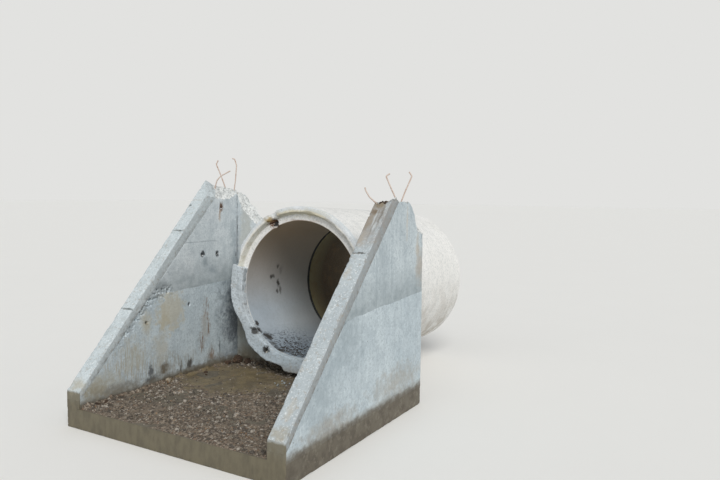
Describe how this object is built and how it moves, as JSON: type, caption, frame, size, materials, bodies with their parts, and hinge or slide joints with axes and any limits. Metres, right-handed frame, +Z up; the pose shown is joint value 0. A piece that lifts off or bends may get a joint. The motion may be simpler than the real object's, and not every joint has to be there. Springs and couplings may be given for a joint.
{
  "type": "culvert headwall",
  "caption": "Cast concrete culvert outlet headwall with sloping wing walls around a protruding concrete pipe, with a broken back wall and bare reinforcing bars.",
  "frame": {"origin": "underside of the base slab, on the centre line, below the front face of the back wall", "axes": "+Z up, +Y back along the pipe into the embankment, +X to the right as seen from the outlet"},
  "size_m": [2.1412, 3.6248, 2.1173],
  "materials": {
    "cast_concrete": "matte cast concrete",
    "coping_concrete": "matte trowelled concrete",
    "pipe_concrete": "matte precast concrete",
    "joint_mortar": "rough mortar",
    "rusty_steel": "rusted and dusty"
  },
  "bodies": {
    "root": {"base_slab": "cast_concrete", "back_wall_lower_lift": "cast_concrete", "left_back_wall_stub": "cast_concrete", "left_wing_lower_lift": "cast_concrete", "left_wing_upper_lift": "cast_concrete", "left_coping_lower": "coping_concrete", "left_coping_middle": "coping_concrete", "left_coping_upper": "coping_concrete", "left_bar_front": "rusty_steel", "left_bar_middle": "rusty_steel", "left_bar_rear": "rusty_steel", "right_back_wall_stub": "cast_concrete", "right_wing_lower_lift": "cast_concrete", "right_wing_upper_lift": "cast_concrete", "right_coping_lower": "coping_concrete", "right_coping_middle": "coping_concrete", "right_coping_upper": "coping_concrete", "right_bar_front": "rusty_steel", "right_bar_middle": "rusty_steel", "right_bar_rear": "rusty_steel", "pipe_front_section": "pipe_concrete", "pipe_second_section": "pipe_concrete", "pipe_joint_mortar": "joint_mortar", "rim_groove_mortar": "joint_mortar"}
  },
  "joints": []
}
